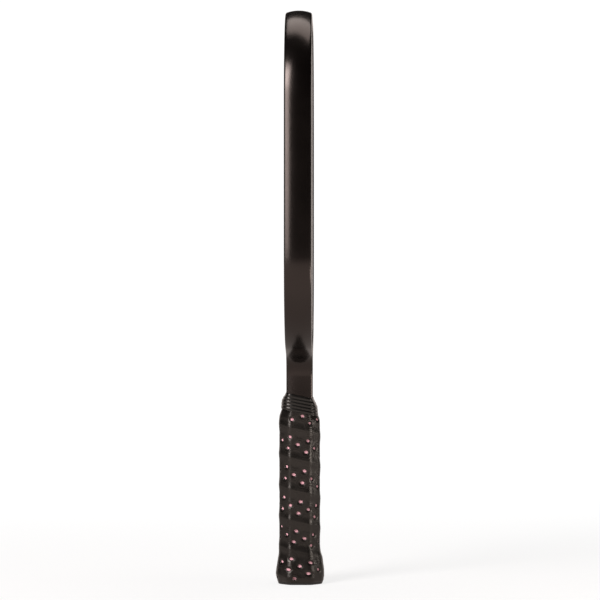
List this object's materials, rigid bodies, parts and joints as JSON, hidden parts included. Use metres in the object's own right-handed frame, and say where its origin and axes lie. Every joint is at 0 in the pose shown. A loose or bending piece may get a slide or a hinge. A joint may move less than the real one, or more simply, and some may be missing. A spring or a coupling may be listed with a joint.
{
  "type": "court paddle",
  "caption": "Solid-faced court paddle with a honeycomb panel, a crowned edge guard, and a bevelled handle with a spiral perforated cushion grip and a ribbed rubber collar.",
  "frame": {"origin": "centre of the butt end face, at the bottom of the handle", "axes": "+Z from the butt end to the top of the head, +Y across the head, +X through the thickness out of the right face"},
  "size_m": [0.0336, 0.2, 0.403],
  "materials": {
    "honeycomb": "translucent milky polymer",
    "face": "fine-textured satin composite",
    "bond_tape": "matte double-sided tape",
    "edge_guard": "satin moulded",
    "pallet": "bare basswood",
    "butt_cap": "satin moulded",
    "end_plate": "plain gloss",
    "steel": "bright wire",
    "underlay": "matte felt",
    "grip": "perforated, honeycomb-embossed, semi-matte",
    "finishing_tape": "thin vinyl",
    "collar": "smooth ribbed, semi-gloss"
  },
  "bodies": {
    "paddle": {"core_panel": "honeycomb", "face_sheet_left": "face", "face_sheet_right": "face", "edge_bond_tape": "bond_tape", "edge_guard": "edge_guard", "handle_pallet_left": "pallet", "handle_pallet_right": "pallet", "butt_cap": "butt_cap", "butt_end_plate": "end_plate", "butt_staples": "steel", "grip_underlay": "underlay", "grip_tack": "steel", "grip_tape": "grip", "finishing_tape": "finishing_tape"},
    "collar": {"grip_collar": "collar"}
  },
  "joints": [
    {"name": "collar_slide", "type": "slide", "parent": "paddle", "child": "collar", "axis": [0, 0, 1], "range_m": [0, 0.01]}
  ]
}
